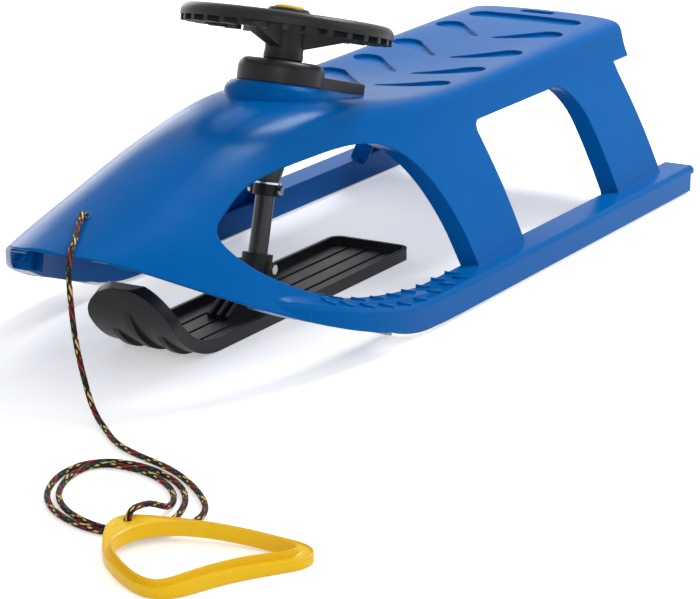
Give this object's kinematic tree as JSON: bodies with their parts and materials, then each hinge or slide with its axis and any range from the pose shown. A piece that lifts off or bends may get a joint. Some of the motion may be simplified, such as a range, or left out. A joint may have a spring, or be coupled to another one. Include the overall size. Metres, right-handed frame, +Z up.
{
  "type": "steering sled",
  "caption": "Moulded child's snow sled with raised seat, wide steel-shod runners, steering wheel on a slanted column, steered front ski and a tow rope with pull handle.",
  "frame": {"origin": "on the ground, below the middle of the sled's length and width, without the rope and handle", "axes": "+X forwards, +Y to the rider's left, +Z up"},
  "size_m": [1.3713, 0.6115, 0.3201],
  "materials": {
    "blue_plastic": "glossy moulded",
    "black_plastic": "satin moulded",
    "bush_plastic": "smooth",
    "yellow_plastic": "glossy moulded",
    "runner_steel": "bright drawn",
    "fastener_steel": "zinc plated",
    "column_paint": "black powder coat",
    "rope": "braided with coloured flecks"
  },
  "bodies": {
    "sled": {"body_shell": "blue_plastic", "left_runner_shoe": "runner_steel", "right_runner_shoe": "runner_steel", "runner_shoe_screws": "fastener_steel", "steering_console": "black_plastic", "console_ring": "black_plastic", "console_screws": "fastener_steel", "upper_bush": "bush_plastic", "lower_bush": "bush_plastic", "tow_rope": "rope", "tow_rope_coil": "rope", "tow_rope_end": "rope", "nose_knot": "rope", "handle_knot": "rope", "pull_handle": "yellow_plastic"},
    "steering": {"steering_column": "column_paint", "column_plug": "black_plastic", "steering_wheel": "black_plastic", "wheel_hub_disc": "black_plastic", "wheel_cap": "yellow_plastic", "wheel_bolt": "fastener_steel", "wheel_washer": "fastener_steel", "column_collar": "black_plastic", "collar_bolt": "fastener_steel", "collar_nut": "fastener_steel", "thrust_washer": "fastener_steel", "front_ski": "black_plastic", "ski_bolt": "fastener_steel", "ski_nut": "fastener_steel"}
  },
  "joints": [
    {"name": "steering", "type": "hinge", "parent": "sled", "child": "steering", "pos_m": [0.16, 0, 0], "axis": [-0.2588, 0, 0.9659], "range_deg": [-20, 20]}
  ]
}
